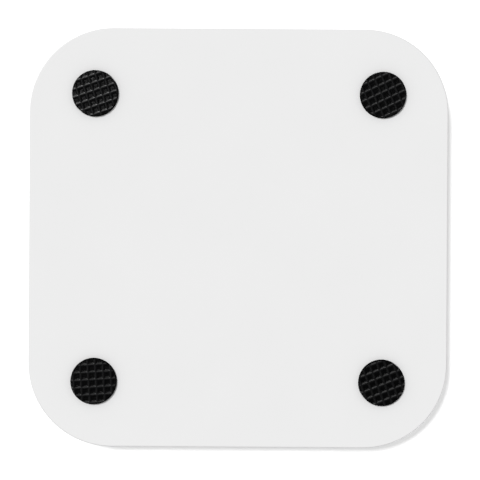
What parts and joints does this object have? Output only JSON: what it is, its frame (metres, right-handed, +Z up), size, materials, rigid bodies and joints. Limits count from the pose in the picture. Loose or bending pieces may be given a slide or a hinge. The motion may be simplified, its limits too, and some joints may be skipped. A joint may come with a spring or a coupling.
{
  "type": "wireless charging pad",
  "caption": "Flat rounded-square wireless charging pad with a soft grip ring on top, a rear USB-C inlet and round waffle-patterned rubber feet.",
  "frame": {"origin": "centre of the footprint, on the surface that the feet stand on", "axes": "+Z up out of the charging face, +Y to the rear face with the USB-C inlet, +X to the right seen from the front"},
  "size_m": [0.09, 0.09, 0.0096],
  "materials": {
    "white_plastic": "satin",
    "foot_rubber": "matte",
    "grip_silicone": "matte",
    "adhesive_tape": "matte",
    "screw_steel": "satin",
    "plated_shell": "polished",
    "black_plastic": "satin",
    "board_laminate": "gloss",
    "capacitor_ceramic": "satin",
    "ferrite": "matte",
    "litz_copper": "satin",
    "foam": "matte",
    "light_pipe_clear": "gloss",
    "led_body": "satin"
  },
  "bodies": {
    "root": {"bottom_cover": "white_plastic", "top_cover": "white_plastic", "grip_ring": "grip_silicone", "foot_front_left": "foot_rubber", "foot_tape_front_left": "adhesive_tape", "case_screw_front_left": "screw_steel", "foot_front_right": "foot_rubber", "foot_tape_front_right": "adhesive_tape", "case_screw_front_right": "screw_steel", "foot_rear_left": "foot_rubber", "foot_tape_rear_left": "adhesive_tape", "case_screw_rear_left": "screw_steel", "foot_rear_right": "foot_rubber", "foot_tape_rear_right": "adhesive_tape", "case_screw_rear_right": "screw_steel", "circuit_board": "board_laminate", "board_screw_left": "screw_steel", "board_screw_right": "screw_steel", "usb_c_shell": "plated_shell", "usb_c_tongue": "black_plastic", "controller_chip": "black_plastic", "crystal": "plated_shell", "bridge_transistor_left": "black_plastic", "bridge_transistor_right": "black_plastic", "input_capacitor_left": "capacitor_ceramic", "input_capacitor_right": "capacitor_ceramic", "power_inductor": "ferrite", "status_led": "led_body", "light_pipe": "light_pipe_clear", "resonant_capacitor_1": "capacitor_ceramic", "resonant_capacitor_2": "capacitor_ceramic", "resonant_capacitor_3": "capacitor_ceramic", "resonant_capacitor_4": "capacitor_ceramic", "charging_coil": "litz_copper", "coil_tape": "adhesive_tape", "ferrite_plate": "ferrite", "foam_pad": "foam", "ballast_plate": "screw_steel", "thermistor": "black_plastic", "thermistor_lead": "black_plastic"}
  },
  "joints": []
}
